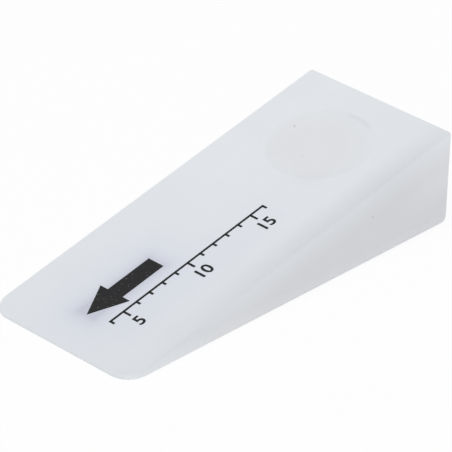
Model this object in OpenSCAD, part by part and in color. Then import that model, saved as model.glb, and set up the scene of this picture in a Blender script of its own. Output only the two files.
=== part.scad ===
// Trim removal wedge: one solid moulding with a thin round-cornered tip,
// an inclined upper face and a thumb dish near the thick end.
// Frame: +X runs from the tip to the thick end, +Z is up, and the flat
// underside lies on z = 0 with the origin in the middle of the outline.

/* [Body] */
// Length from the tip to the thick end
body_length = 115; // [90:1:180]
// Width from side to side
body_width = 50.5; // [40:0.5:90]
// Height of the thick end, before its edge is rounded
body_height = 27; // [20:0.1:45]
// Thickness of the tip
tip_thickness = 1; // [0.6:0.1:2.4]

/* [Edges] */
// Radius of the two tip corners, seen from above
tip_corner_radius = 6; // [3:0.5:15]
// Radius of the edges round the underside
base_edge_radius = 2.4; // [1.2:0.1:3.6]
// Radius of the edges at the top of the thick end
top_edge_radius = 0.8; // [0.4:0.1:2]
// Distance from the tip to where the underside edges have their full radius
full_round_from = 37; // [28:1:60]

/* [Thumb dish] */
// Diameter of the dish, measured on the inclined face
dish_diameter = 29; // [14:0.5:36]
// Depth of the dish below the inclined face
dish_depth = 3.5; // [1:0.1:6]
// Distance from the thick end to the middle of the dish
dish_setback = 22.4; // [20:0.1:40]

/* [Hidden] */

half_length = body_length / 2;
half_width = body_width / 2;
nose_radius = tip_thickness / 2;

// Facets of the edge rounds and of the larger tip corners
edge_facets = 32;
corner_facets = 64;

// The rounds stand this much proud of the flat faces, which are then cut true
proud = 0.02;

// Overlap of the cutting shapes with the open air round the body
clear = 5;

// The inclined face rises evenly from the tip to the thick end
incline = atan((body_height - tip_thickness) / body_length);
function incline_z(x) = tip_thickness + (x + half_length) * tan(incline);

// Middle height of a round that touches the inclined face from below
function under_incline_z(x, radius) = incline_z(x) - (radius - proud) / cos(incline);

// The dish is a cap of a sphere whose rim lies on the inclined face
dish_radius = dish_diameter / 2;
dish_sphere_radius = (dish_radius ^ 2 + dish_depth ^ 2) / (2 * dish_depth);
dish_x = half_length - dish_setback;

// Ball whose poles and equator lie exactly at its radius
module ball(radius) {
    rotate_extrude($fn = edge_facets)
        intersection() {
            circle(radius, $fn = edge_facets);
            translate([0, -radius])
                square([radius, 2 * radius]);
        }
}

// Round-edged ring that forms one corner of the tip
module tip_ring() {
    rotate_extrude($fn = corner_facets)
        translate([tip_corner_radius - nose_radius, 0])
            circle(nose_radius, $fn = edge_facets);
}

// Rings of one tip corner: one lies on the underside and one follows the incline
module tip_corner(side) {
    ring_y = side * (half_width - tip_corner_radius);
    ring_reach = tip_corner_radius - nose_radius;
    upper_x = nose_radius + ring_reach * cos(incline) - half_length;
    translate([tip_corner_radius - half_length, ring_y, nose_radius - proud])
        tip_ring();
    translate([upper_x, ring_y, under_incline_z(upper_x, nose_radius)])
        rotate([0, -incline, 0])
            tip_ring();
}

// Balls along one underside edge, from where its round is full to the thick end
module underside_edge(side) {
    ball_y = side * (half_width - base_edge_radius);
    for (ball_x = [full_round_from - half_length, half_length - base_edge_radius])
        translate([ball_x, ball_y, base_edge_radius - proud])
            ball(base_edge_radius);
}

// Ball at one upper corner of the thick end
module upper_corner(side) {
    ball_x = half_length - top_edge_radius;
    ball_y = side * (half_width - top_edge_radius);
    translate([ball_x, ball_y, under_incline_z(ball_x, top_edge_radius)])
        rotate([0, -incline, 0])
            ball(top_edge_radius);
}

// Skin stretched over the rounded corners, so that each edge round tapers into the next
module rounded_skin() {
    hull()
        for (side = [-1, 1]) {
            tip_corner(side);
            underside_edge(side);
            upper_corner(side);
        }
}

// Side profile between the flat underside and the inclined face, which meet ahead of the tip
module side_profile() {
    point_x = -half_length - tip_thickness / tan(incline);
    rear_x = half_length + clear;
    polygon([[point_x, 0], [rear_x, 0], [rear_x, incline_z(rear_x)]]);
}

// The moulding before the dish is sunk into it
module blank() {
    intersection() {
        rounded_skin();
        rotate([90, 0, 0])
            linear_extrude(body_width + 2 * clear, center = true)
                side_profile();
    }
}

// Hollow of the thumb dish
module dish_hollow() {
    translate([dish_x, 0, incline_z(dish_x)])
        rotate([0, -incline, 0])
            translate([0, 0, dish_sphere_radius - dish_depth])
                sphere(dish_sphere_radius, $fn = corner_facets);
}

module wedge() {
    color("whitesmoke")
        difference() {
            blank();
            dish_hollow();
        }
}

wedge();
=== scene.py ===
"""Looks of a moulded trim removal wedge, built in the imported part's own frame, in metres."""

import logging
import math
from collections.abc import Callable, Iterable, Iterator
from contextlib import contextmanager
from dataclasses import dataclass, field
from enum import Enum
from typing import ClassVar

import bmesh
import bpy
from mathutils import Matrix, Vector


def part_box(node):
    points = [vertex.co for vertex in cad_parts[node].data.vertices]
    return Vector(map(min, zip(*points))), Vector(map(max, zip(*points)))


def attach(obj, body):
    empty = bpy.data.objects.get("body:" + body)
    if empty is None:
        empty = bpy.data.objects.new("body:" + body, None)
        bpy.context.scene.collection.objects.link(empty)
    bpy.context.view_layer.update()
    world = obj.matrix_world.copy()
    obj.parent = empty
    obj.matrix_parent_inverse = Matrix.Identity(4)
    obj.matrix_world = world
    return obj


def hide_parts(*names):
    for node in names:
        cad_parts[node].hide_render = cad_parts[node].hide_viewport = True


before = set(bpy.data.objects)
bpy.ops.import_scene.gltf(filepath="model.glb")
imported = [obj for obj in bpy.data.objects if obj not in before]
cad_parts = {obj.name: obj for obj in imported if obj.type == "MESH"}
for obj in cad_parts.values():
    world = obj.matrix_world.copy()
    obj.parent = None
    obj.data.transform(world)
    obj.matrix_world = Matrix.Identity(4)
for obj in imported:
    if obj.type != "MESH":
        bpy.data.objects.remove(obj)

log = logging.getLogger("wedge")

MM = 0.001
# The bisect operator's own threshold would pull vertices near the cut into it.
FINE = 1e-7
BODY = "root"
NODE = "wedge"
# Factor that takes the height out of a place.
PLAN = Vector((1.0, 1.0, 0.0))

Colour = tuple[float, float, float, float]
Place = tuple[float, float, float]
Point = tuple[float, float]
Material = bpy.types.Material
Node = bpy.types.Node
Piece = bpy.types.Object
Socket = bpy.types.NodeSocket
Tree = bpy.types.NodeTree


class Mark(Enum):
    """Kinds of graduation on the printed scale, with their length in millimetres."""

    MINOR = 1.5
    MAJOR = 2.7


class Fade(Enum):
    """Ways in which a value runs from one level to another."""

    EVEN = "LINEAR"
    SOFT = "SMOOTHSTEP"


class Mix(Enum):
    """Kinds of Mix node, with the places of their first input and of their output."""

    VALUES = ("FLOAT", 2, 0)
    COLOURS = ("RGBA", 6, 2)


def pick(piece: Piece) -> None:
    """Select one object alone and make it active.

    Args:
        piece: Object to select.
    """
    bpy.ops.object.select_all(action="DESELECT")
    piece.select_set(True)
    bpy.context.view_layer.objects.active = piece


@contextmanager
def editing(piece: Piece) -> Iterator[None]:
    """Open one object in edit mode with its whole mesh selected, and leave the mode at the end.

    Args:
        piece: Object to open.

    Yields:
        Nothing; the object stays open while the block runs.
    """
    pick(piece)
    bpy.ops.object.mode_set(mode="EDIT")
    bpy.ops.mesh.select_all(action="SELECT")
    yield
    bpy.ops.object.mode_set(mode="OBJECT")


def extrude(step: Place) -> None:
    """Extrude what is selected in edit mode by a step."""
    bpy.ops.mesh.extrude_region_move(TRANSFORM_OT_translate={"value": step})


def join(pieces: Iterable[Piece], name: str) -> Piece:
    """Join objects into one.

    Args:
        pieces: Objects to join; the first one keeps its place.
        name: Name of the joined object and of its mesh.

    Returns:
        The joined object.
    """
    bpy.ops.object.select_all(action="DESELECT")
    members = list(pieces)
    for member in members:
        member.select_set(True)
    bpy.context.view_layer.objects.active = members[0]
    bpy.ops.object.join()
    joined = bpy.context.view_layer.objects.active
    joined.name = name
    joined.data.name = name
    return joined


def apply_place(piece: Piece) -> None:
    """Move an object's place into its mesh, so that the object sits at the origin."""
    pick(piece)
    bpy.ops.object.transform_apply(location=True, rotation=True, scale=True)


def apply_modifier(piece: Piece, kind: str, **settings: object) -> None:
    """Add a modifier to an object and apply it.

    Args:
        piece: Object that gets the modifier.
        kind: Modifier type, such as BOOLEAN.
        **settings: Properties of the modifier by name.
    """
    pick(piece)
    bpy.ops.object.modifier_add(type=kind)
    modifier = piece.modifiers[-1]
    for key, value in settings.items():
        setattr(modifier, key, value)
    bpy.ops.object.modifier_apply(modifier=modifier.name)


def select_edges(piece: Piece, wanted: Callable[[Vector, Vector], bool]) -> None:
    """Select the edges of a mesh in edit mode by the place of their ends.

    Args:
        piece: Object that is open in edit mode.
        wanted: Test of an edge's two end points.
    """
    bpy.ops.mesh.select_mode(type="EDGE")
    bpy.ops.mesh.select_all(action="DESELECT")
    mesh = bmesh.from_edit_mesh(piece.data)
    for edge in mesh.edges:
        if wanted(edge.verts[0].co, edge.verts[1].co):
            edge.select_set(True)
    bmesh.update_edit_mesh(piece.data)


def new_material(name: str) -> tuple[Material, Tree]:
    """Make an empty node material.

    Args:
        name: Name of the material.

    Returns:
        The material and its node tree.
    """
    material = bpy.data.materials.new(name)
    material.use_nodes = True
    material.node_tree.nodes.clear()
    return material, material.node_tree


def add_node(tree: Tree, kind: str, **settings: object) -> Node:
    """Add a node and set its properties.

    Args:
        tree: Tree that gets the node.
        kind: Node type, such as ShaderNodeMath.
        **settings: Properties of the node by name.

    Returns:
        The new node.
    """
    node = tree.nodes.new(kind)
    for key, value in settings.items():
        setattr(node, key, value)
    return node


def feed(tree: Tree, socket: Socket, value: Socket | float | Colour | Vector) -> None:
    """Link a socket to an input, or set the input to a constant.

    Args:
        tree: Tree that has the input.
        socket: Input to feed.
        value: Socket to link, or the constant.
    """
    if isinstance(value, Socket):
        tree.links.new(value, socket)
    else:
        socket.default_value = value


def maths(
    tree: Tree, operation: str, first: Socket | float, second: Socket | float = 0.0
) -> Socket:
    """Add a Math node.

    Args:
        tree: Tree that gets the node.
        operation: Operation, such as MULTIPLY.
        first: Socket or number of the first value.
        second: Socket or number of the second value, where the operation has one.

    Returns:
        The node's output socket.
    """
    node = add_node(tree, "ShaderNodeMath", operation=operation)
    feed(tree, node.inputs[0], first)
    feed(tree, node.inputs[1], second)
    return node.outputs[0]


def product(tree: Tree, *factors: Socket) -> Socket:
    """Multiply values.

    Args:
        tree: Tree that gets the nodes.
        *factors: Sockets of the values.

    Returns:
        Socket of the product.
    """
    result = factors[0]
    for factor in factors[1:]:
        result = maths(tree, "MULTIPLY", result, factor)
    return result


def vector_maths(tree: Tree, operation: str, first: Socket, second: Vector | None = None) -> Socket:
    """Add a Vector Math node.

    Args:
        tree: Tree that gets the node.
        operation: Operation, such as SUBTRACT.
        first: Socket of the first vector.
        second: Second vector, where the operation has one.

    Returns:
        The node's vector output, or its value output where it gives a plain value.
    """
    node = add_node(tree, "ShaderNodeVectorMath", operation=operation)
    feed(tree, node.inputs[0], first)
    if second is not None:
        feed(tree, node.inputs[1], second)
    plain = operation in ("LENGTH", "DISTANCE", "DOT_PRODUCT")
    return node.outputs["Value" if plain else "Vector"]


def scaled(tree: Tree, vector: Socket, factor: Socket | float) -> Socket:
    """Multiply a vector or a colour by a number.

    Args:
        tree: Tree that gets the node.
        vector: Socket of the vector.
        factor: Socket or number to multiply by.

    Returns:
        Socket of the product.
    """
    node = add_node(tree, "ShaderNodeVectorMath", operation="SCALE")
    feed(tree, node.inputs[0], vector)
    feed(tree, node.inputs["Scale"], factor)
    return node.outputs["Vector"]


def parts(tree: Tree, vector: Socket) -> list[Socket]:
    """Split a vector.

    Args:
        tree: Tree that gets the node.
        vector: Socket of the vector.

    Returns:
        Sockets of its X, Y and Z.
    """
    node = add_node(tree, "ShaderNodeSeparateXYZ")
    feed(tree, node.inputs[0], vector)
    return list(node.outputs)


def blend(
    tree: Tree, kind: Mix, share: Socket, low: Socket | Colour, high: Socket | Colour | float
) -> Socket:
    """Mix two values or two colours by a share that varies over the surface.

    Args:
        tree: Tree that gets the node.
        kind: What is mixed.
        share: Socket of the second one's share.
        low: First one, or a socket that gives it.
        high: Second one, or a socket that gives it.

    Returns:
        Socket of the mixed value or colour.
    """
    data_type, first, result = kind.value
    node = add_node(tree, "ShaderNodeMix", data_type=data_type)
    for index, value in ((0, share), (first, low), (first + 1, high)):
        feed(tree, node.inputs[index], value)
    return node.outputs[result]


def close_material(tree: Tree, shader: Node, grain: Socket, depth: float) -> None:
    """Give a shader its grain and link it to the material's output.

    Args:
        tree: Material's node tree.
        shader: Shader of the material.
        grain: Socket of the grain's height, from 0 to 1.
        depth: Depth of the grain.
    """
    bump = add_node(tree, "ShaderNodeBump")
    bump.inputs["Distance"].default_value = depth
    tree.links.new(grain, bump.inputs["Height"])
    tree.links.new(bump.outputs["Normal"], shader.inputs["Normal"])
    output = add_node(tree, "ShaderNodeOutputMaterial")
    tree.links.new(shader.outputs[0], output.inputs["Surface"])


@dataclass(frozen=True)
class Course:
    """Value that runs from one level to another over a span and holds beyond its ends."""

    start: float
    end: float
    first: float = 0.0
    last: float = 1.0
    fade: Fade = Fade.EVEN

    def over(self, tree: Tree, value: Socket) -> Socket:
        """Add a node that maps a value by this course.

        Args:
            tree: Tree that gets the node.
            value: Socket to map.

        Returns:
            Socket of the mapped value.
        """
        node = add_node(tree, "ShaderNodeMapRange", interpolation_type=self.fade.value)
        feed(tree, node.inputs["Value"], value)
        ends = ("From Min", "From Max", "To Min", "To Max")
        for name, level in zip(ends, (self.start, self.end, self.first, self.last)):
            node.inputs[name].default_value = level
        return node.outputs["Result"]


@dataclass(frozen=True)
class MouldedSurface:
    """Shared effect: the fine grain of a mould and a slow clouding of the tone."""

    name: str = "moulded_surface"
    grain_detail: float = 3.0
    cloud_detail: float = 2.0

    def group(self) -> Tree:
        """Build the node group once.

        Returns:
            The group, with outputs Grain and Cloud from 0 to 1.
        """
        found = bpy.data.node_groups.get(self.name)
        if found:
            return found
        tree = bpy.data.node_groups.new(self.name, "ShaderNodeTree")
        tree.interface.new_socket("Vector", in_out="INPUT", socket_type="NodeSocketVector")
        source = add_node(tree, "NodeGroupInput")
        sink = add_node(tree, "NodeGroupOutput")
        for output, detail in (("Grain", self.grain_detail), ("Cloud", self.cloud_detail)):
            scale = f"{output} Scale"
            tree.interface.new_socket(scale, in_out="INPUT", socket_type="NodeSocketFloat")
            tree.interface.new_socket(output, in_out="OUTPUT", socket_type="NodeSocketFloat")
            noise = add_node(tree, "ShaderNodeTexNoise")
            noise.inputs["Detail"].default_value = detail
            tree.links.new(source.outputs["Vector"], noise.inputs["Vector"])
            tree.links.new(source.outputs[scale], noise.inputs["Scale"])
            tree.links.new(noise.outputs["Fac"], sink.inputs[output])
        return tree

    def place(self, tree: Tree, grain: float, cloud: float) -> Node:
        """Place the effect in a material.

        Args:
            tree: Material's node tree.
            grain: Size of the grain.
            cloud: Size of the clouds.

        Returns:
            The group node, fed with Object coordinates.
        """
        coords = add_node(tree, "ShaderNodeTexCoord")
        node = add_node(tree, "ShaderNodeGroup", node_tree=self.group())
        node.inputs["Grain Scale"].default_value = 1 / grain
        node.inputs["Cloud Scale"].default_value = 1 / cloud
        tree.links.new(coords.outputs["Object"], node.inputs["Vector"])
        return node


@dataclass(frozen=True)
class Canvas:
    """What colour, light and shade are painted with: the nodes, the body, and the place as the body
    measures it.
    """

    tree: Tree
    place: Socket
    body: "WedgeBody"

    def distance(self, spot: Vector) -> Socket:
        """Add a node for the distance from a spot on the body, in millimetres."""
        return vector_maths(self.tree, "DISTANCE", self.place, self.body.measured(spot))


@dataclass(frozen=True)
class Speck:
    """Soft dark spot, by its radius in millimetres and its strength. Specks in the plastic, the dark
    arc at the dish's rim and one spot of painted shade in the dish are made of these.
    """

    core_share: ClassVar[float] = 0.3
    radius: float
    strength: float

    def middle(self, body: "WedgeBody") -> Vector:
        """Middle of the spot on the body."""
        raise NotImplementedError

    def mask(self, canvas: Canvas) -> Socket:
        """Add nodes for the spot.

        Args:
            canvas: What to paint with.

        Returns:
            Socket that has the spot's strength in its middle and is 0 outside it.
        """
        core = self.core_share * self.radius
        distance = canvas.distance(self.middle(canvas.body))
        return Course(core, self.radius, self.strength, 0.0, Fade.SOFT).over(canvas.tree, distance)


@dataclass(frozen=True)
class DishSpeck(Speck):
    """Dark spot in the dish, by its distance from the middle in millimetres and its angle in
    degrees; one of them is painted shade.
    """

    distance: float
    angle: float

    def middle(self, body: "WedgeBody") -> Vector:
        """Middle of the spot in the dish."""
        return body.dish_point(self.distance * MM, math.radians(self.angle))


@dataclass(frozen=True)
class SideSpeck(Speck):
    """Speck on the near side, by its distance from the tip and its height in millimetres."""

    along: float
    height: float

    def middle(self, body: "WedgeBody") -> Vector:
        """Middle of the spot on the near side."""
        return Vector((self.along, 0.0, self.height)) * MM - body.corner


@dataclass(frozen=True)
class Block:
    """Block of print in plan, by its middle and half of its size, as the body measures places."""

    middle: Vector
    half: Vector


@dataclass(frozen=True)
class Halo:
    """Soft shade round print, where ink keeps light out of the plastic, with a reach in mm."""

    reach: float
    strength: float

    def mask(self, canvas: Canvas, block: Block) -> Socket:
        """Add nodes for the shade.

        Args:
            canvas: What to paint with.
            block: Block of print that has the halo.

        Returns:
            Socket that has the halo's strength on the block and fades out round it.
        """
        tree = canvas.tree
        plan = vector_maths(tree, "MULTIPLY", canvas.place, PLAN)
        offset = vector_maths(tree, "SUBTRACT", plan, block.middle)
        offset = vector_maths(tree, "ABSOLUTE", offset)
        offset = vector_maths(tree, "SUBTRACT", offset, block.half)
        offset = vector_maths(tree, "MAXIMUM", offset, Vector())
        decay = maths(tree, "MULTIPLY", vector_maths(tree, "LENGTH", offset), -1 / self.reach)
        return maths(tree, "MULTIPLY", maths(tree, "EXPONENT", decay), self.strength)


@dataclass(frozen=True)
class FaceTone:
    """Painted light and shade of the upper face: painted shade along the near crease, painted light
    towards the thick end and the far side, and warm painted shade in the dish.

    The dish's lean is painted light and shade that evens out the light across it, along the
    dish's heading. Spans are in millimetres from the tip, the near side or the middle of the dish.
    """

    crease: Course = Course(0.0, 7.75, 1.0, 0.0)
    crease_loss: Course = Course(7.0, 60.0, 0.02, 0.13)
    end_share: Course = Course(95.5, 115.0, 1.0, 0.5)
    lengthwise: Course = Course(17.5, 74.5, 0.985, 1.02)
    crosswise: Course = Course(9.25, 41.25, 0.983, 1.002)
    dish_fade: float = 0.5
    dish_warmth: Course = Course(16.0, 7.0)
    dish_warm_shift: float = 2.5
    dish_lean: Course = Course(-13.0, 13.0, 1.012, 0.995)
    dish_heading: float = math.radians(30.0)

    def inside(self, canvas: Canvas) -> Socket:
        """Add nodes that tell the dish from the rest.

        Args:
            canvas: What to paint with.

        Returns:
            Socket that is 1 inside the dish and 0 outside it.
        """
        rim = canvas.body.rim_reach / MM
        distance = canvas.distance(canvas.body.dish_centre)
        return Course(rim, rim - self.dish_fade).over(canvas.tree, distance)

    def warmth(self, canvas: Canvas) -> Socket:
        """Add nodes for the share of the warm painted shade round its middle in the dish."""
        spot = canvas.body.dish_centre + Vector((0.0, self.dish_warm_shift * MM, 0.0))
        return self.dish_warmth.over(canvas.tree, canvas.distance(spot))

    def lean(self, canvas: Canvas) -> Socket:
        """Add nodes for the factor that evens out the light in the dish.

        Args:
            canvas: What to paint with.

        Returns:
            Socket of the factor.
        """
        centre = canvas.body.measured(canvas.body.dish_centre)
        offset = vector_maths(canvas.tree, "SUBTRACT", canvas.place, centre)
        heading = Vector((math.cos(self.dish_heading), math.sin(self.dish_heading), 0.0))
        reach = vector_maths(canvas.tree, "DOT_PRODUCT", offset, heading)
        return self.dish_lean.over(canvas.tree, reach)

    def tone(self, canvas: Canvas) -> Socket:
        """Add nodes for the painted light and shade, as a factor on the colour.

        Args:
            canvas: What to paint with.

        Returns:
            Socket of the factor.
        """
        tree = canvas.tree
        along, across, _ = parts(tree, canvas.place)
        loss = product(
            tree,
            self.crease.over(tree, across),
            self.crease_loss.over(tree, along),
            self.end_share.over(tree, along),
        )
        kept = maths(tree, "SUBTRACT", 1.0, loss)
        return product(
            tree, kept, self.lengthwise.over(tree, along), self.crosswise.over(tree, across)
        )


@dataclass(frozen=True)
class SideTone:
    """Painted light and shade of the sides: painted shade at the crease, painted light under it and
    near the floor, and warm painted shade between.

    The thin part has painted light all over, its nose painted shade, and the thick end painted
    light high up. Spans are in millimetres below the upper face, from the tip or above the floor.
    """

    edge: Course = Course(0.0, 1.0, 0.965, 1.002)
    leak: Course = Course(0.0, 8.0, 1.095, 1.022)
    thinness: Course = Course(52.5, 25.5)
    thin_tone: float = 1.08
    nose: Course = Course(0.0, 1.5, 0.93, 1.0)
    floor: Course = Course(0.0, 4.0, 1.075, 1.0)
    end_gain: Course = Course(95.0, 111.5, 0.0, 0.072)
    end_height: Course = Course(7.0, 13.0)
    warmth: Course = Course(1.5, 6.0, 0.0, 0.7)

    def depth(self, canvas: Canvas) -> Socket:
        """Add nodes for the depth below the upper face.

        Args:
            canvas: What to paint with.

        Returns:
            Socket of the depth in millimetres.
        """
        along, _, height = parts(canvas.tree, canvas.place)
        rise = maths(canvas.tree, "MULTIPLY", along, math.tan(canvas.body.incline))
        face = maths(canvas.tree, "ADD", rise, canvas.body.tip_thickness / MM)
        return maths(canvas.tree, "SUBTRACT", face, height)

    def tone(self, canvas: Canvas, depth: Socket) -> Socket:
        """Add nodes for the painted light and shade, as a factor on the colour.

        Args:
            canvas: What to paint with.
            depth: Socket of the depth below the upper face.

        Returns:
            Socket of the factor.
        """
        tree = canvas.tree
        along, _, height = parts(tree, canvas.place)
        thin = self.thinness.over(tree, along)
        tone = blend(tree, Mix.VALUES, thin, self.leak.over(tree, depth), self.thin_tone)
        gain = product(tree, self.end_gain.over(tree, along), self.end_height.over(tree, height))
        return product(
            tree,
            tone,
            self.edge.over(tree, depth),
            self.nose.over(tree, along),
            self.floor.over(tree, height),
            maths(tree, "ADD", gain, 1.0),
        )


@dataclass(frozen=True)
class MilkyPlastic:
    """Milky white plastic, with the light and shade of its translucency painted into its colour."""

    name: str = "milky_plastic"
    pale: Colour = (0.811, 0.841, 0.874, 1.0)
    clouded: Colour = (0.786, 0.816, 0.849, 1.0)
    # Colour of the warm painted shade.
    warm: Colour = (0.782, 0.789, 0.815, 1.0)
    shaded: Colour = (0.725, 0.75, 0.87, 1.0)
    inky: Colour = (0.08, 0.08, 0.085, 1.0)
    speck_colour: Colour = (0.25, 0.24, 0.23, 1.0)
    face: FaceTone = FaceTone()
    side: SideTone = SideTone()
    mottling: Course = Course(0.35, 0.65, 0.75, 1.25)
    wide_halo: Halo = Halo(reach=6.0, strength=0.9)
    close_halo: Halo = Halo(reach=1.7, strength=0.2)
    scale_halo: Halo = Halo(reach=2.5, strength=0.2)
    specks: tuple[Speck, ...] = (
        DishSpeck(radius=0.42, strength=0.42, distance=12.6, angle=78.0),
        DishSpeck(radius=0.4, strength=0.16, distance=5.3, angle=135.0),
        # Painted shade: a wide faint dark spot on the dish's slope towards the tip and the near
        # side.
        DishSpeck(radius=6.5, strength=0.04, distance=12.7, angle=210.0),
        SideSpeck(radius=0.5, strength=0.22, along=85.8, height=13.2),
    )
    # A short dark arc of small soft spots just inside the dish's rim, towards the thick end.
    scuff_angles: range = range(-21, 13, 4)
    scuff_distance: float = 13.7
    scuff_radius: float = 1.0
    scuff_strength: float = 0.055
    refractive_index: float = 1.5
    roughness: Course = Course(0.0, 1.0, 0.38, 0.48)
    grain: float = 0.35 * MM
    cloud: float = 9.0 * MM
    grain_depth: float = 0.012 * MM

    def material(self, body: "WedgeBody", scale: "ScalePrint") -> Material:
        """Build the plastic.

        Args:
            body: Body that the painted light and shade follow.
            scale: Print that the halos follow.

        Returns:
            The finished material.
        """
        material, tree = new_material(self.name)
        surface = MouldedSurface().place(tree, self.grain, self.cloud)
        shader = add_node(tree, "ShaderNodeBsdfPrincipled")
        shader.inputs["IOR"].default_value = self.refractive_index
        colour = self.colour(tree, surface, body, scale)
        tree.links.new(colour, shader.inputs["Base Color"])
        roughness = self.roughness.over(tree, surface.outputs["Cloud"])
        tree.links.new(roughness, shader.inputs["Roughness"])
        close_material(tree, shader, surface.outputs["Grain"], self.grain_depth)
        return material

    def colour(self, tree: Tree, surface: Node, body: "WedgeBody", scale: "ScalePrint") -> Socket:
        """Add the nodes that paint the plastic's colour, with its painted light and shade.

        Args:
            tree: Material's node tree.
            surface: Node of the moulded surface.
            body: Body that the painted light and shade follow.
            scale: Print that the halos follow.

        Returns:
            Socket of the colour.
        """
        coords = add_node(tree, "ShaderNodeTexCoord")
        shifted = vector_maths(tree, "ADD", coords.outputs["Object"], body.corner)
        canvas = Canvas(tree, scaled(tree, shifted, 1 / MM), body)
        depth = self.side.depth(canvas)
        inside = self.face.inside(canvas)
        # The upward part of the normal tells the face from the sides, which get different painted
        # light and shade.
        _, _, upward = parts(tree, coords.outputs["Normal"])
        turn = Course(0.0, body.face_normal.z).over(tree, upward)
        up = maths(tree, "MAXIMUM", turn, inside)

        # Warm painted shade in the dish and on the sides below the crease.
        mottling = self.mottling.over(tree, surface.outputs["Grain"])
        dish_warmth = product(tree, self.face.warmth(canvas), inside, mottling)
        warmth = blend(tree, Mix.VALUES, up, self.side.warmth.over(tree, depth), dish_warmth)
        colour = blend(tree, Mix.COLOURS, surface.outputs["Cloud"], self.pale, self.clouded)
        colour = blend(tree, Mix.COLOURS, warmth, colour, self.warm)
        for halo, tint, block in (
            (self.wide_halo, self.shaded, scale.arrow_block),
            (self.close_halo, self.inky, scale.arrow_block),
            (self.scale_halo, self.shaded, scale.scale_block),
        ):
            shade = product(tree, halo.mask(canvas, block), up)
            colour = blend(tree, Mix.COLOURS, shade, colour, tint)
        # Specks, the dark arc at the dish's rim and one spot of painted shade.
        for mark in self.marks():
            colour = blend(tree, Mix.COLOURS, mark.mask(canvas), colour, self.speck_colour)

        # Painted light and shade of the face, the dish and the sides, as a factor on the colour.
        flat = self.face.tone(canvas)
        dished = product(tree, flat, self.face.lean(canvas))
        face = blend(tree, Mix.VALUES, inside, flat, dished)
        tone = blend(tree, Mix.VALUES, up, self.side.tone(canvas, depth), face)
        return scaled(tree, colour, tone)

    def marks(self) -> list[Speck]:
        """List the specks, the spot of painted shade in the dish, and the row of dark spots along
        part of the dish's rim.
        """
        rim_arc = [
            DishSpeck(self.scuff_radius, self.scuff_strength, self.scuff_distance, angle)
            for angle in self.scuff_angles
        ]
        return [*self.specks, *rim_arc]


@dataclass(frozen=True)
class PrintInk:
    """Black pad-printed ink with pinholes, which takes the plastic's grain."""

    name: str = "print_ink"
    deep: Colour = (0.006, 0.006, 0.007, 1.0)
    thin: Colour = (0.014, 0.014, 0.016, 1.0)
    bare: Colour = (0.5, 0.51, 0.53, 1.0)
    pinholes: Course = Course(0.69, 0.73)
    roughness: Course = Course(0.0, 1.0, 0.5, 0.65)
    sheen_level: float = 0.2
    grain: float = 0.35 * MM
    cloud: float = 3.0 * MM
    grain_depth: float = 0.008 * MM

    def material(self) -> Material:
        """Build the ink.

        Returns:
            The finished material.
        """
        material, tree = new_material(self.name)
        surface = MouldedSurface().place(tree, self.grain, self.cloud)
        grain = surface.outputs["Grain"]
        shader = add_node(tree, "ShaderNodeBsdfPrincipled")
        shader.inputs["Specular IOR Level"].default_value = self.sheen_level
        colour = blend(tree, Mix.COLOURS, surface.outputs["Cloud"], self.deep, self.thin)
        colour = blend(tree, Mix.COLOURS, self.pinholes.over(tree, grain), colour, self.bare)
        tree.links.new(colour, shader.inputs["Base Color"])
        tree.links.new(self.roughness.over(tree, grain), shader.inputs["Roughness"])
        close_material(tree, shader, grain, self.grain_depth)
        return material


def seen_rays(tree: Tree) -> Socket:
    """Add nodes that tell rays that show the backdrop from rays that light the object.

    Args:
        tree: Tree that gets the nodes.

    Returns:
        Socket that is 1 for camera, glossy and transmission rays.
    """
    path = add_node(tree, "ShaderNodeLightPath")
    seen = path.outputs["Is Camera Ray"]
    for name in ("Is Glossy Ray", "Is Transmission Ray"):
        seen = maths(tree, "MAXIMUM", seen, path.outputs[name])
    return seen


@dataclass(frozen=True)
class StudioPaper:
    """Pale floor that the camera sees as white, with the object's shadow kept on it.

    The glow takes up the given share of what the camera sees; the rest is paper in the light.
    """

    name: str = "studio_paper"
    colour: Colour = (0.95, 0.95, 0.95, 1.0)
    glow: float = 1.0
    glow_share: float = 0.92

    def material(self) -> Material:
        """Build the floor's finish.

        Returns:
            The finished material.
        """
        material, tree = new_material(self.name)
        paper = add_node(tree, "ShaderNodeBsdfDiffuse")
        paper.inputs["Color"].default_value = self.colour
        glow = add_node(tree, "ShaderNodeEmission")
        glow.inputs["Strength"].default_value = self.glow
        mix = add_node(tree, "ShaderNodeMixShader")
        share = maths(tree, "MULTIPLY", seen_rays(tree), self.glow_share)
        tree.links.new(share, mix.inputs["Fac"])
        tree.links.new(paper.outputs["BSDF"], mix.inputs[1])
        tree.links.new(glow.outputs["Emission"], mix.inputs[2])
        output = add_node(tree, "ShaderNodeOutputMaterial")
        tree.links.new(mix.outputs["Shader"], output.inputs["Surface"])
        return material


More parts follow.
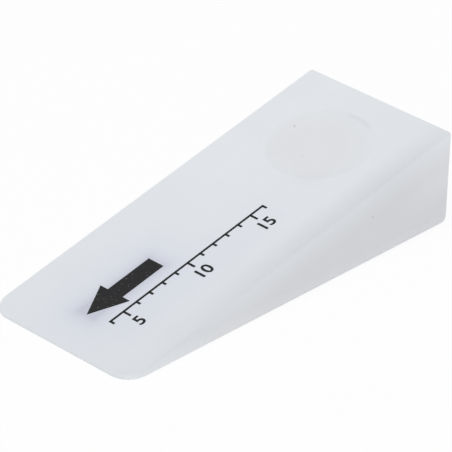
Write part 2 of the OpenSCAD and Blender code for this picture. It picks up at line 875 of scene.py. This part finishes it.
@dataclass
class WedgeBody:
    """The one-piece moulding: rounded skin, flat faces and thumb dish."""

    length: float
    width: float
    height: float = 27.0 * MM
    tip_thickness: float = 1.0 * MM
    tip_corner_radius: float = 6.0 * MM
    base_edge_radius: float = 2.4 * MM
    top_edge_radius: float = 0.8 * MM
    full_round_from: float = 37.0 * MM
    dish_diameter: float = 29.0 * MM
    dish_depth: float = 3.5 * MM
    dish_setback: float = 22.4 * MM
    dish_rim_radius: float = 3.0 * MM
    # The dish's cutter starts above the face, a little wider than its rim, which lies just over it.
    cutter_height: float = 1.0 * MM
    cutter_flare: float = 0.02 * MM
    cutter_lift: float = 0.002 * MM
    # The rounds reach past the flat faces by this much, so that the cuts leave the faces true.
    proud: float = 0.02 * MM
    ball_segments: int = 32
    corner_segments: int = 96
    dish_segments: int = 144
    dish_steps: int = 40
    rim_steps: int = 10
    flat_angle: float = math.radians(0.05)
    smooth_angle: float = math.radians(40.0)
    finish: MilkyPlastic = field(default_factory=MilkyPlastic)

    @property
    def incline(self) -> float:
        """Angle of the upper face, in radians."""
        return math.atan((self.height - self.tip_thickness) / self.length)

    @property
    def face_normal(self) -> Vector:
        """Outward normal of the upper face."""
        return Vector((-math.sin(self.incline), 0.0, math.cos(self.incline)))

    @property
    def tip(self) -> Vector:
        """Middle of the upper edge of the tip."""
        return Vector((-self.length / 2, 0.0, self.tip_thickness))

    @property
    def corner(self) -> Vector:
        """Step from the near lower corner of the tip to the origin."""
        return Vector((self.length / 2, self.width / 2, 0.0))

    @property
    def dish_centre(self) -> Vector:
        """Middle of the dish on the upper face."""
        x = self.length / 2 - self.dish_setback
        return Vector((x, 0.0, self.face_z(x)))

    @property
    def dish_ball(self) -> float:
        """Radius of the ball that the dish is a cap of."""
        return ((self.dish_diameter / 2) ** 2 + self.dish_depth**2) / (2 * self.dish_depth)

    @property
    def rim_reach(self) -> float:
        """Distance from the dish's axis at which its soft rim meets the upper face."""
        outer = self.dish_ball + self.dish_rim_radius
        return math.sqrt(outer**2 - (outer - self.dish_depth) ** 2)

    def face_z(self, x: float) -> float:
        """Height of the upper face at a place along the body."""
        return self.tip_thickness + (x + self.length / 2) * math.tan(self.incline)

    def under_face_z(self, x: float, radius: float) -> float:
        """Middle height of a round that touches the upper face from below."""
        return self.face_z(x) - (radius - self.proud) / math.cos(self.incline)

    def measured(self, place: Vector) -> Vector:
        """Measure a place in millimetres from the near lower corner of the tip."""
        return (place + self.corner) / MM

    def dish_point(self, distance: float, angle: float) -> Vector:
        """Find a place on the dish.

        Args:
            distance: Distance from the dish's axis.
            angle: Angle about that axis in radians, from the direction of the thick end.

        Returns:
            The place.
        """
        uphill = Vector((math.cos(self.incline), 0.0, math.sin(self.incline)))
        across = Vector((0.0, 1.0, 0.0))
        outward = uphill * math.cos(angle) + across * math.sin(angle)
        rise = self.dish_ball - self.dish_depth - math.sqrt(self.dish_ball**2 - distance**2)
        return self.dish_centre + outward * distance + self.face_normal * rise

    def build(self) -> Piece:
        """Model the moulding.

        Returns:
            The finished piece.
        """
        rounds = [shape for side in (-1, 1) for shape in self.side_rounds(side)]
        piece = join(rounds, "wedge_body")
        apply_place(piece)
        self.stretch_skin(piece)
        self.cut_flats(piece)
        self.sink_dish(piece)
        self.smooth(piece)
        return piece

    def side_rounds(self, side: int) -> list[Piece]:
        """Add the balls and rings that round one side's corners.

        Args:
            side: -1 or 1, the side across the width.

        Returns:
            The new primitives.
        """
        half = self.length / 2
        nose = self.tip_thickness / 2
        ring_y = side * (self.width / 2 - self.tip_corner_radius)
        upper_x = nose + (self.tip_corner_radius - nose) * math.cos(self.incline) - half
        edge_y = side * (self.width / 2 - self.base_edge_radius)
        edge_z = self.base_edge_radius - self.proud
        top_x = half - self.top_edge_radius
        top_y = side * (self.width / 2 - self.top_edge_radius)
        top_z = self.under_face_z(top_x, self.top_edge_radius)
        return [
            self.ring((self.tip_corner_radius - half, ring_y, nose - self.proud), 0.0),
            self.ring((upper_x, ring_y, self.under_face_z(upper_x, nose)), -self.incline),
            self.ball((self.full_round_from - half, edge_y, edge_z), self.base_edge_radius, 0.0),
            self.ball((half - self.base_edge_radius, edge_y, edge_z), self.base_edge_radius, 0.0),
            self.ball((top_x, top_y, top_z), self.top_edge_radius, -self.incline),
        ]

    def ball(self, place: Place, radius: float, tilt: float) -> Piece:
        """Add one ball.

        Args:
            place: Middle of the ball.
            radius: Its radius.
            tilt: Turn about the width axis, so that a pole meets the face.

        Returns:
            The new object.
        """
        bpy.ops.mesh.primitive_uv_sphere_add(
            segments=self.ball_segments,
            ring_count=self.ball_segments // 2,
            radius=radius,
            location=place,
            rotation=(0.0, tilt, 0.0),
        )
        return bpy.context.active_object

    def ring(self, place: Place, tilt: float) -> Piece:
        """Add one round-edged ring of a tip corner.

        Args:
            place: Middle of the ring.
            tilt: Turn about the width axis.

        Returns:
            The new object.
        """
        nose = self.tip_thickness / 2
        bpy.ops.mesh.primitive_torus_add(
            major_radius=self.tip_corner_radius - nose,
            minor_radius=nose,
            major_segments=self.corner_segments,
            minor_segments=self.ball_segments // 2,
            location=place,
            rotation=(0.0, tilt, 0.0),
        )
        return bpy.context.active_object

    def stretch_skin(self, piece: Piece) -> None:
        """Stretch one convex skin over the rounds."""
        with editing(piece):
            bpy.ops.mesh.convex_hull(join_triangles=False)

    def cut_flats(self, piece: Piece) -> None:
        """Cut the underside and the upper face true.

        Args:
            piece: Moulding with its skin stretched.
        """
        underside = (Vector(), Vector((0.0, 0.0, -1.0)))
        with editing(piece):
            for place, normal in (underside, (self.tip, self.face_normal)):
                bpy.ops.mesh.bisect(
                    plane_co=place, plane_no=normal, use_fill=True, clear_outer=True, threshold=FINE
                )
                bpy.ops.mesh.select_all(action="SELECT")
            bpy.ops.mesh.dissolve_limited(angle_limit=self.flat_angle)
            bpy.ops.mesh.normals_make_consistent(inside=False)

    def dish_profile(self) -> list[Point]:
        """Lay out the dish's cutter as rings, from above the face down to the floor of the dish.

        Returns:
            Radius and height of each ring over the upper face.
        """
        ball, depth = self.dish_ball, self.dish_depth
        soft, reach = self.dish_rim_radius, self.rim_reach
        slope = math.asin(reach / (ball + soft))
        rings = [(reach + self.cutter_flare, self.cutter_height), (reach, self.cutter_lift)]
        for step in range(1, self.rim_steps + 1):
            turn = slope * step / self.rim_steps
            rings.append((reach - soft * math.sin(turn), soft * (math.cos(turn) - 1)))
        for step in range(1, self.dish_steps):
            turn = slope * (1 - step / self.dish_steps)
            rings.append((ball * math.sin(turn), ball * (1 - math.cos(turn)) - depth))
        return rings

    def dish_cutter(self) -> Piece:
        """Model the round cutter of the dish, with its axis standing on the upper face.

        Returns:
            The cutter.
        """
        rings = self.dish_profile()
        top_radius, top_height = rings[0]
        bpy.ops.mesh.primitive_circle_add(
            vertices=self.dish_segments,
            radius=top_radius,
            fill_type="NGON",
            location=(0, 0, top_height),
        )
        cutter = bpy.context.active_object
        apply_place(cutter)
        with editing(cutter):
            for (radius, height), (next_radius, next_height) in zip(rings, rings[1:]):
                extrude((0.0, 0.0, next_height - height))
                shrink = (next_radius / radius, next_radius / radius, 1.0)
                bpy.ops.transform.resize(value=shrink, center_override=(0, 0, next_height))
            bpy.ops.mesh.select_all(action="SELECT")
            bpy.ops.mesh.normals_make_consistent(inside=False)
        cutter.location = self.dish_centre
        cutter.rotation_euler = (0.0, -self.incline, 0.0)
        apply_place(cutter)
        return cutter

    def sink_dish(self, piece: Piece) -> None:
        """Sink the dish into the upper face.

        Args:
            piece: Moulding with its flat faces cut.
        """
        cutter = self.dish_cutter()
        apply_modifier(piece, "BOOLEAN", operation="DIFFERENCE", solver="EXACT", object=cutter)
        pick(cutter)
        bpy.ops.object.delete()

    def smooth(self, piece: Piece) -> None:
        """Shade the rounds smooth and keep the flat faces flat.

        Args:
            piece: Moulding to shade.
        """
        pick(piece)
        bpy.ops.object.shade_smooth_by_angle(angle=self.smooth_angle)
        apply_modifier(piece, "WEIGHTED_NORMAL", keep_sharp=True)

    def dress(self, piece: Piece, scale: "ScalePrint") -> None:
        """Give the moulding its plastic and put it in the frame.

        Args:
            piece: Finished moulding.
            scale: Print that shades the plastic round it.
        """
        piece.data.materials.clear()
        piece.data.materials.append(self.finish.material(self, scale))
        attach(piece, BODY)
        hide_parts(NODE)


@dataclass
class ScalePrint:
    """Plain thickness scale printed on the upper face: an arrow to the tip, marks and numbers."""

    body: WedgeBody
    # The film's lower side is sunk into the plastic, so that no gap shows under the ink.
    film: float = 0.03 * MM
    sunk: float = 0.01 * MM
    merge: float = 0.0005 * MM
    arrow_tip: float = 12.0 * MM
    arrow_shoulder: float = 22.0 * MM
    arrow_end: float = 36.5 * MM
    arrow_y: float = 2.0 * MM
    head_width: float = 10.8 * MM
    shaft_width: float = 5.4 * MM
    first_mm: int = 4
    last_mm: int = 16
    numbered_every: int = 5
    line_y: float = -5.0 * MM
    line_width: float = 0.7 * MM
    mark_width: float = 0.7 * MM
    number_height: float = 3.6 * MM
    digit_share: float = 0.7
    number_weight: float = 0.12 * MM
    number_gap: float = 0.7 * MM
    finish: PrintInk = field(default_factory=PrintInk)

    @property
    def arrow_block(self) -> Block:
        """Block that the arrow's length and the width of its shaft span."""
        half = self.shaft_width / 2
        return self.block(
            (self.arrow_tip, self.arrow_y - half), (self.arrow_end, self.arrow_y + half)
        )

    @property
    def scale_block(self) -> Block:
        """Block that the line, the marks and the numbers span."""
        bottom = self.line_y - self.number_drop - self.number_height
        return self.block(
            (self.along(self.first_mm), bottom), (self.along(self.last_mm), self.line_y)
        )

    @property
    def number_drop(self) -> float:
        """Distance from the line to the top of the numbers."""
        return Mark.MAJOR.value * MM + self.number_gap

    def block(self, low: Point, high: Point) -> Block:
        """Measure a rectangle on the face in plan, as the body measures places.

        Args:
            low: Lowest corner on the face.
            high: Highest corner on the face.

        Returns:
            The block.
        """
        lean = math.cos(self.body.incline)
        middle = self.body.width / 2
        first, last = (Vector((x * lean, y + middle, 0.0)) / MM for x, y in (low, high))
        return Block((first + last) / 2, (last - first) / 2)

    def along(self, thickness_mm: float) -> float:
        """Distance from the tip, on the face, at which the wedge has a thickness."""
        return (thickness_mm * MM - self.body.tip_thickness) / math.sin(self.body.incline)

    def build(self) -> Piece:
        """Lay the print out flat, then lay it on the upper face.

        Returns:
            The finished piece.
        """
        shapes = [self.arrow(), self.base_line()]
        for thickness in range(self.first_mm, self.last_mm + 1):
            numbered = thickness % self.numbered_every == 0
            shapes.append(self.mark(thickness, Mark.MAJOR if numbered else Mark.MINOR))
            if numbered:
                shapes.append(self.number(thickness))
        piece = join(shapes, "scale_print")
        apply_place(piece)
        piece.location = self.body.tip - self.body.face_normal * self.sunk
        piece.rotation_euler = (0.0, -self.body.incline, 0.0)
        apply_place(piece)
        with editing(piece):
            bpy.ops.mesh.remove_doubles(threshold=self.merge)
            bpy.ops.mesh.normals_make_consistent(inside=False)
        return piece

    def patch(self, low: Point, high: Point) -> Piece:
        """Add a flat rectangle between two corners.

        Args:
            low: Lowest corner on the face.
            high: Highest corner on the face.

        Returns:
            The new object, with its place in its mesh.
        """
        (left, bottom), (right, top) = low, high
        middle = ((left + right) / 2, (bottom + top) / 2, 0.0)
        bpy.ops.mesh.primitive_plane_add(size=1.0, location=middle)
        patch = bpy.context.active_object
        patch.scale = (right - left, top - bottom, 1.0)
        apply_place(patch)
        return patch

    def thicken(self, shape: Piece) -> Piece:
        """Raise a flat shape to the thickness of the ink film.

        Args:
            shape: Flat shape.

        Returns:
            The same object.
        """
        with editing(shape):
            extrude((0.0, 0.0, self.film))
        return shape

    def arrow(self) -> Piece:
        """Draw the plain arrow that points to the tip.

        Returns:
            The new object.
        """
        half = self.shaft_width / 2
        start = (self.arrow_shoulder, self.arrow_y - half)
        shape = self.patch(start, (self.arrow_end, self.arrow_y + half))
        middle = (self.arrow_shoulder + self.arrow_end) / 2
        with editing(shape):
            select_edges(shape, lambda a, b: a.x < middle and b.x < middle)
            extrude((0.0, 0.0, 0.0))
            bpy.ops.transform.resize(
                value=(1.0, self.head_width / self.shaft_width, 1.0),
                center_override=(self.arrow_shoulder, self.arrow_y, 0.0),
            )
            extrude((self.arrow_tip - self.arrow_shoulder, 0.0, 0.0))
            bpy.ops.mesh.merge(type="CENTER")
        return self.thicken(shape)

    def base_line(self) -> Piece:
        """Draw the line that the marks stand on.

        Returns:
            The new object.
        """
        half = self.line_width / 2
        reach = self.mark_width / 2
        start = (self.along(self.first_mm) - reach, self.line_y - half)
        end = (self.along(self.last_mm) + reach, self.line_y + half)
        return self.thicken(self.patch(start, end))

    def mark(self, thickness_mm: int, kind: Mark) -> Piece:
        """Draw one graduation.

        Args:
            thickness_mm: Thickness of the wedge at the mark.
            kind: Short or long mark.

        Returns:
            The new object.
        """
        x = self.along(thickness_mm)
        half = self.mark_width / 2
        start = (x - half, self.line_y - kind.value * MM)
        return self.thicken(self.patch(start, (x + half, self.line_y)))

    def number(self, thickness_mm: int) -> Piece:
        """Write one plain number under its mark.

        Args:
            thickness_mm: Number to write.

        Returns:
            The new object, as a mesh.
        """
        bpy.ops.object.text_add()
        text = bpy.context.active_object
        text.data.body = str(thickness_mm)
        text.data.align_x = "CENTER"
        text.data.align_y = "TOP"
        text.data.size = self.number_height / self.digit_share
        text.data.extrude = self.film / 2
        text.data.offset = self.number_weight
        bpy.ops.object.convert(target="MESH")
        text = bpy.context.active_object
        top = self.line_y - self.number_drop
        text.location = (self.along(thickness_mm), top, self.film / 2)
        apply_place(text)
        return text

    def dress(self, piece: Piece) -> None:
        """Ink the print and put it in the frame.

        Args:
            piece: Finished print.
        """
        piece.data.materials.clear()
        piece.data.materials.append(self.finish.material())
        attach(piece, BODY)


@dataclass(frozen=True)
class SoftLight:
    """Large square light that faces the object and leaves no highlight of its own."""

    name: str
    power: float
    size: float
    place: Place

    def hang(self) -> None:
        """Add the light to the scene."""
        bpy.ops.object.light_add(type="AREA", location=self.place)
        light = bpy.context.active_object
        light.name = self.name
        light.data.energy = self.power
        light.data.size = self.size
        light.visible_glossy = False
        light.rotation_euler = (-Vector(self.place)).to_track_quat("-Z", "Y").to_euler()


@dataclass
class Studio:
    """Pale floor, soft light and the photograph's camera."""

    floor_size: float = 4.0
    floor_gap: float = 0.05 * MM
    sky: float = 0.605
    seen_sky: float = 1.0
    white: Colour = (1.0, 1.0, 1.0, 1.0)
    key: SoftLight = SoftLight("soft_key", power=7.2, size=0.9, place=(-0.42, -0.17, 1.41))
    azimuth: float = -44.47
    elevation: float = 29.44
    distance: float = 1.0
    aim: Place = (0.42 * MM, -0.33 * MM, 11.6 * MM)
    lens: float = 313.4
    sensor: float = 36.0
    paper: StudioPaper = field(default_factory=StudioPaper)

    def build(self) -> None:
        """Set up the floor, the light and the camera."""
        self.floor()
        self.world()
        self.key.hang()
        self.camera()
        bpy.context.scene.view_settings.view_transform = "Standard"

    def floor(self) -> None:
        """Lay the floor just under the object."""
        bpy.ops.mesh.primitive_plane_add(size=self.floor_size, location=(0, 0, -self.floor_gap))
        floor = bpy.context.active_object
        floor.name = "studio_floor"
        floor.data.materials.append(self.paper.material())

    def world(self) -> None:
        """Make an even sky that the camera sees as white."""
        world = bpy.data.worlds.new("studio_sky")
        world.use_nodes = True
        tree = world.node_tree
        tree.nodes.clear()
        mix = add_node(tree, "ShaderNodeMixShader")
        tree.links.new(seen_rays(tree), mix.inputs["Fac"])
        for index, strength in ((1, self.sky), (2, self.seen_sky)):
            sky = add_node(tree, "ShaderNodeBackground")
            sky.inputs["Color"].default_value = self.white
            sky.inputs["Strength"].default_value = strength
            tree.links.new(sky.outputs["Background"], mix.inputs[index])
        output = add_node(tree, "ShaderNodeOutputWorld")
        tree.links.new(mix.outputs["Shader"], output.inputs["Surface"])
        bpy.context.scene.world = world

    def camera(self) -> None:
        """Set the camera at the photograph's viewing angle."""
        turn = math.radians(self.azimuth)
        rise = math.radians(self.elevation)
        back = Vector(
            (math.sin(turn) * math.cos(rise), -math.cos(turn) * math.cos(rise), math.sin(rise))
        )
        bpy.ops.object.camera_add(location=Vector(self.aim) + back * self.distance)
        camera = bpy.context.active_object
        camera.rotation_euler = (-back).to_track_quat("-Z", "Y").to_euler()
        camera.data.lens = self.lens
        camera.data.sensor_width = self.sensor
        bpy.context.scene.camera = camera


def main() -> None:
    """Build the object and its studio."""
    logging.basicConfig(level=logging.INFO)
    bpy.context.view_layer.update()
    node_low, node_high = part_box(NODE)
    size = node_high - node_low
    wedge = WedgeBody(length=size.x, width=size.y)
    scale = ScalePrint(wedge)
    body = wedge.build()
    wedge.dress(body, scale)
    film = scale.build()
    scale.dress(film)
    for piece in (body, film):
        log.info("%s: %d faces", piece.name, len(piece.data.polygons))
    Studio().build()


if __name__ == "__main__":
    main()
